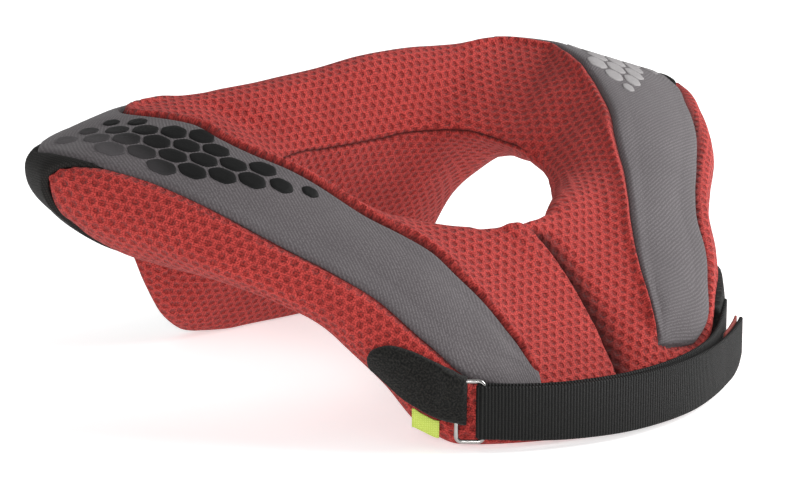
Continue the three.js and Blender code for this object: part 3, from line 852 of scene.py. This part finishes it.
# Raised rubber cells on the side panels: rounded hexagons that shrink towards the ends of the field.
CELL = {"long": 5.4, "tall": 3.9, "gap": 2.0, "high": 0.45, "points": 30, "squareness": 9}
HEX_PITCH = (1.5, 1.73)  # columns and rows of touching hexagons, in half-lengths and half-heights
FIELDS = {"right": (63, 104, RUBBER), "left": (63, 87, GREY_PRINT_AND_SHEEN)}  # turns at both ends, material
FIELD_EDGE = {"top": 0.12, "bottom": 0.86, "narrower": 0.42, "from": 0.35}  # shares of the panel's width
FIELD_END = {"size": 0.6, "reach": 0.25}  # how small the last cells are, and over what share
CELL_RINGS = [(1.0, -0.4), (0.98, 0.6), (0.9, 1.0), (0.5, 1.05), (0.02, 1.08)]  # size, height
LOCATE_ROUNDS = 6


def locate(flat, spots):
    """Grid places whose flat cloth coordinates are these spots."""
    first = ((flat - spots.mean(0)) ** 2).sum(2).argmin()
    i, j = [np.full(len(spots), float(k)) for k in np.unravel_index(first, flat.shape[:2])]
    slopes = np.concatenate([np.gradient(flat, axis=0), np.gradient(flat, axis=1)], 2)
    for _ in range(LOCATE_ROUNDS):
        miss = spots - sample(flat, i, j)
        a, b, c, d = sample(slopes, i, j).T
        area = a * d - b * c
        i = i + (miss[:, 0] * d - miss[:, 1] * c) / area
        j = j + (miss[:, 1] * a - miss[:, 0] * b) / area
    return i, j


def cell_outline():
    """A rounded hexagon of radius about 1, a corner on each long end."""
    a = np.linspace(0, 2 * math.pi, CELL["points"], endpoint=False)
    power = CELL["squareness"]
    sides = [np.abs(np.cos(a + math.pi / 6 + k * math.pi / 3)) ** power for k in range(3)]
    out = sum(sides) ** (-1 / power)
    return np.stack([out * np.cos(a), out * np.sin(a)], 1)


def rubber_cells(side, turn, outer, n, flat):
    start_turn, end_turn, material = FIELDS[side]
    pitch = np.array([HEX_PITCH[0] * CELL["long"], HEX_PITCH[1] * CELL["tall"]]) + CELL["gap"]
    shape = cell_outline() * (CELL["long"], CELL["tall"])
    reach = np.abs(turn)
    field = flat[(reach > start_turn) & (reach < end_turn)].reshape(-1, 2)
    low, high = np.floor(field.min(0) / pitch), np.ceil(field.max(0) / pitch)
    count = CELL["points"]
    points, faces, uv = [], [], []
    for column in np.arange(low[0], high[0] + 1):
        for row in np.arange(low[1], high[1] + 1):
            middle = np.array([column, row + 0.5 * (column % 2)]) * pitch
            i, j = [float(k[0]) for k in locate(flat, middle[None])]
            share = (np.interp(i, np.arange(len(turn)), reach) - start_turn) / (end_turn - start_turn)
            across = j / (flat.shape[1] - 1)
            lowest = FIELD_EDGE["bottom"] - FIELD_EDGE["narrower"] * smooth(share, FIELD_EDGE["from"], 1.0)
            if not (0 < share < 1 and FIELD_EDGE["top"] < across < lowest):
                continue
            from_end = min(share, 1 - share)
            grow = FIELD_END["size"] + (1 - FIELD_END["size"]) * smooth(from_end, 0, FIELD_END["reach"])
            start = len(points)
            for ring, rise in CELL_RINGS:
                spots = middle + shape * ring * grow
                at = locate(flat, spots)
                points += list(sample(outer, *at) + sample(n, *at) * CELL["high"] * rise)
                uv += list(spots)
            for k in range(len(CELL_RINGS) - 1):
                for q in range(count):
                    a, b = start + k * count + q, start + k * count + (q + 1) % count
                    faces.append([a, b, b + count, a + count])
            top = start + (len(CELL_RINGS) - 1) * count
            faces.append([top + q for q in range(count)])
            faces.append([start + q for q in range(count)][::-1])
    corner_uv = np.array([uv[p] for f in faces for p in f])
    return make(f"print_cells_{side}", points, faces, corner_uv, material)


for name, (turn, outer, n, flat) in panels.items():
    place(rubber_cells(name, turn, outer, n, flat), None)

# Felt tabs on the outer wall. The ring's tab is thicker where it folds round the ring's bar.
TABS = [
    # turn, lower edge, upper edge, thickness
    (123.5, 30.0, 33, 2.2),
    (124.2, 28.2, 35, 2.2),
    (125.5, 26.4, 36.4, 2.2),
    (128, 22.6, 37.5, 2.2),
    (132, 16.6, 36, 2.2),
    (137, 12, 32.4, 2.6),
    (140.8, 9.8, 29.4, 4.8),
    (144.2, 8.5, 26.8, 4.8),
]
TAB_STEPS = (70, 50)
TAB_LIFT = 0.6  # off the wall
TAB_THICK = 2.2  # of the anchor tab
TAB_EDGE = 1.3  # how far in the edge is rounded
TAB_RIM = 0.15  # share of the thickness at the very edge
TAB_EVEN = 12  # rounds of averaging of the direction that it stands off in
TAB_BACK = 7  # how much further back the anchor tab is, in turns
TAB_RISE = {"high": 2.5, "turn": 128}  # how much higher the anchor tab's upper edge is from this turn
# How far the anchor tab's lower edge stands off from this turn, and shares at the upper edge and the front.
TAB_FLARE = {"out": 6.5, "turn": 131, "upper": 0.3, "lost": 0.5, "front": (136, 144)}


def tab(name, side, folded):
    """A felt tab on one side: thicker at the end where it folds round the ring's bar, or flared."""
    table_turns, *columns = zip(*TABS)
    turn = np.linspace(table_turns[0], table_turns[-1], TAB_STEPS[0])
    low, high, fold = [along(table_turns, column, turn) for column in columns]
    share = np.linspace(0, 1, TAB_STEPS[1])
    if not folded:
        high = high + TAB_RISE["high"] * smooth(turn, table_turns[0], TAB_RISE["turn"])
        flare = TAB_FLARE["out"] * smooth(turn, table_turns[0], TAB_FLARE["turn"])
        flare = flare * (1 - TAB_FLARE["lost"] * smooth(turn, *TAB_FLARE["front"]))
        turn = turn - TAB_BACK
    wall = outline(turn)[:, seam("brow") : seam("heel") + 1]
    heights = low[:, None] + (high - low)[:, None] * share
    out = np.stack([np.interp(-h, -w[:, 1], w[:, 0]) for h, w in zip(heights, wall)])
    if side < 0:
        turn, out, heights, fold = -turn[::-1], out[::-1], heights[::-1], fold[::-1]
    grid = polar(turn[:, None], out, heights)[:, ::-1]
    n = soften(soften(normals(grid), TAB_EVEN).transpose(1, 0, 2), TAB_EVEN).transpose(1, 0, 2)
    n /= norm(n, axis=2, keepdims=True)
    thick = fold[:, None] if folded else np.full((len(turn), 1), TAB_THICK)
    round_off = np.clip(edge_run(grid) / np.maximum(TAB_EDGE, thick / 2), 0, 1)
    crown = np.sqrt(1 - (1 - round_off) ** 2)
    outer = grid + n * (TAB_LIFT + thick * (TAB_RIM + (1 - TAB_RIM) * crown))[:, :, None]
    inner = grid + n * TAB_LIFT / 2
    if not folded:
        flare = flare[:, None] * (TAB_FLARE["upper"] + (1 - TAB_FLARE["upper"]) * share)
        outer, inner = outer + n * flare[:, :, None], inner + n * flare[:, :, None]
    return shell(name, outer, inner, flatten(grid, np.gradient(grid, axis=0)), FELT)


place(tab("ring_tab_felt", -1, True), "ring_tab")
place(tab("anchor_tab_felt", 1, False), "anchor_tab")

# Strap in two layers, hook tape and label, upright: turn, outer face, lower edge and upper edge.
STRAP_INNER = [
    (-229, 108.4, 8, 30),
    (-224, 107.8, 7, 28),
    (-219, 107.4, 5, 26),
    (-213, 107.4, 4, 24.6),
    (-205, 107.6, 2.8, 24),
    (-196, 107.6, 2, 23.6),
    (-180, 107.6, 1.8, 23.4),
    (-164, 107.2, 2.4, 23.6),
    (-155, 106.2, 3.4, 24),
    (-147.4, 105, 4.2, 24.3),
]
STRAP_OUTER = [
    (-147.4, 109.2, 4.2, 24.3),
    (-155, 110, 3.4, 24),
    (-164, 110.4, 2.4, 23.6),
    (-180, 110.6, 1.6, 23),
    (-196, 110.4, 1.6, 22.6),
    (-206, 110.2, 2, 22.2),
    (-214, 110.6, 2.4, 21.8),
    (-220, 112, 3.2, 22.2),
    (-224, 113.5, 5.5, 23.2),
    (-226.5, 114.5, 9.5, 24.2),
]
STRAP_THICK = 1.6
FOLD_STEPS = 14
HOOK_ROWS = [(-218, 109.4, 6, 22), (-222, 110.6, 6.5, 23), (-226, 112.2, 9, 24.9)]
HOOK_THICK = 1.0
TAG_ROWS = [(-133, 103.4, 7.2, 14.4), (-135, 103.4, 5.8, 12.4), (-138.6, 103.9, 3.4, 10)]
TAG_THICK = 0.9
BAND_STEP = 0.4  # turns between a band's rings
BAND_EASE = 0.3  # height of an edge's easing, as a share of the thickness
BAND_FLAT = 0.4  # share of an edge that stays flat


def band_path(rows, thick):
    """Points along a band's lower edge, in the middle of its thickness, and its height at each."""
    table_turns, *columns = zip(*rows)
    count = int(abs(table_turns[-1] - table_turns[0]) / BAND_STEP)
    turn = np.linspace(table_turns[0], table_turns[-1], count + 1)
    out, low, high = [along(table_turns, column, turn) for column in columns]
    return polar(turn, out - thick / 2, low), high - low


def band(name, path, tall, thick, material):
    """An upright band with eased edges along points that stand at its lower edge."""
    way = np.gradient(path, axis=0)
    side = np.stack([way[:, 1], -way[:, 0], 0 * way[:, 0]], 1)
    side *= (thick / 2 / norm(side, axis=1))[:, None]
    ease = thick * BAND_EASE
    rings, flat = [], []
    travel = np.concatenate([[0], np.cumsum(norm(np.diff(path[:, :2], axis=0), axis=1))])
    profile = [(-1, "low", 1), (-BAND_FLAT, "low", 0), (BAND_FLAT, "low", 0), (1, "low", 1)]
    profile += [(1, "high", 1), (BAND_FLAT, "high", 0), (-BAND_FLAT, "high", 0), (-1, "high", 1)]
    for out, end, eased in profile:
        height = eased * ease if end == "low" else tall - eased * ease
        rings.append(path + side * out + np.multiply.outer(height * np.ones(len(path)), UP))
        flat.append(np.stack([travel, height + path[:, 2]], 1))
    return loft(name, np.stack(rings, 1), np.stack(flat, 1), material)


inner_path, inner_tall = band_path(STRAP_INNER, STRAP_THICK)
outer_path, outer_tall = band_path(STRAP_OUTER, STRAP_THICK)
centre = (inner_path[-1] + outer_path[0]) / 2
arm = inner_path[-1] - centre
ahead = np.array([-arm[1], arm[0], 0])
ahead *= np.sign(ahead @ (outer_path[0] - outer_path[1]))
bend = np.linspace(0, math.pi, FOLD_STEPS + 1)[1:-1]
fold_path = centre + np.multiply.outer(np.cos(bend), arm) + np.multiply.outer(np.sin(bend), ahead)
strap_path = np.concatenate([inner_path, fold_path, outer_path])
strap_tall = np.concatenate([inner_tall, np.full(len(bend), outer_tall[0]), outer_tall])
strap = band("closure_strap_webbing", strap_path, strap_tall, STRAP_THICK, WEBBING)
place(strap, "closure_strap")
place(band("hook_tape", *band_path(HOOK_ROWS, HOOK_THICK), HOOK_THICK, HOOK), "hook_patch")
place(band("side_label", *band_path(TAG_ROWS, TAG_THICK), TAG_THICK, LIME), "side_tag")

# Wire ring on edge between its two bars, as turn and distance from the neck axis.
RING_WIRE = 1.7
RING_BARS = [(-142, 105.6), (-147.4, 106.3)]
RING_CORNER = 2.2
RING_CLEAR = 0.6  # above and below the strap
RING_STEPS = 10  # round each corner
WIRE_SIDES = 20

near, far = [polar(t, r, 0) for t, r in RING_BARS]
wide = norm(far - near)
way = (far - near) / wide
outward = np.array([way[1], -way[0], 0])
low = STRAP_OUTER[0][2] - RING_CLEAR - RING_WIRE / 2
high = STRAP_OUTER[0][3] + RING_CLEAR + RING_WIRE / 2
rings = []
for right, top, start in ((0, 0, 180), (1, 0, 270), (1, 1, 0), (0, 1, 90)):
    for k in range(RING_STEPS + 1):
        a = math.radians(start + 90 * k / RING_STEPS)
        x = (wide - RING_CORNER if right else RING_CORNER) + RING_CORNER * math.cos(a)
        z = (high - RING_CORNER if top else low + RING_CORNER) + RING_CORNER * math.sin(a)
        turned = way * math.cos(a) + UP * math.sin(a)
        b = np.linspace(0, 2 * math.pi, WIRE_SIDES, endpoint=False)
        wire = np.multiply.outer(np.cos(b), turned) + np.multiply.outer(np.sin(b), outward)
        rings.append(near + way * x + UP * z + wire * RING_WIRE / 2)
rings = np.array(rings)
i, j = places(len(rings), WIRE_SIDES)
next_i, next_j = (i + 1) % len(rings), (j + 1) % WIRE_SIDES
corners = [(i, j), (next_i, j), (next_i, next_j), (i, next_j)]
faces = np.stack([(p * WIRE_SIDES + q).ravel() for p, q in corners], 1)
points = rings.reshape(-1, 3)
place(make("strap_ring_wire", points, faces, points[faces.ravel()][:, [0, 2]], STEEL), "strap_ring")

# Camera, a floor that glows like a lit table, and soft studio light.
FLOOR_HALF = 6.0
FLOOR_GLOW = 0.5
SKY = 0.46
LIGHTS = [
    # name, place, size, watts
    ("right", (0.78, -0.45, 0.54), 0.7, 12.5),
    ("front", (-1.45, -1.35, 0.64), 0.6, 18),
]

a, e = math.radians(CAMERA_TURN), math.radians(CAMERA_DIP)
right = Vector((math.cos(a), math.sin(a), 0))
back = Vector((math.sin(a) * math.cos(e), -math.cos(a) * math.cos(e), math.sin(e)))
level = Matrix((right, back.cross(right), back)).transposed()
axes = level @ Matrix.Rotation(math.radians(CAMERA_ROLL), 3, "Z")
lens = bpy.data.cameras.new("camera")
lens.lens, lens.sensor_width = CAMERA_LENS, CAMERA_SENSOR
camera = bpy.data.objects.new("camera", lens)
camera.matrix_world = Matrix.Translation(CAMERA_AT) @ axes.to_4x4()
scene.collection.objects.link(camera)
scene.camera = camera

WHITE = (1, 1, 1, 1)
ground = Paint("pale_floor", Roughness=0.9, Emission_Color=WHITE, Emission_Strength=FLOOR_GLOW)
grain = ground.noise(0.4, 2.0)
ground.finish(ground.tone(grain, *FLOOR_GRAIN), grain, 0.02)
floor_points = np.array([[-1, -1, 0], [1, -1, 0], [1, 1, 0], [-1, 1, 0]]) * FLOOR_HALF / MM
floor = make("floor", floor_points, [[0, 1, 2, 3]], floor_points[:, :2] * MM, ground.material)

for name, spot, span, watts in LIGHTS:
    data = bpy.data.lights.new(name, "AREA")
    data.energy, data.size = watts, span
    light = bpy.data.objects.new(name, data)
    light.location = spot
    light.rotation_mode = "QUATERNION"
    light.rotation_quaternion = Vector(spot).to_track_quat("Z", "Y")
    scene.collection.objects.link(light)
world = bpy.data.worlds.new("studio")
world.use_nodes = True
sky = world.node_tree.nodes["Background"]
sky.inputs["Color"].default_value = WHITE
sky.inputs["Strength"].default_value = SKY
scene.world = world
scene.view_settings.view_transform = "Standard"
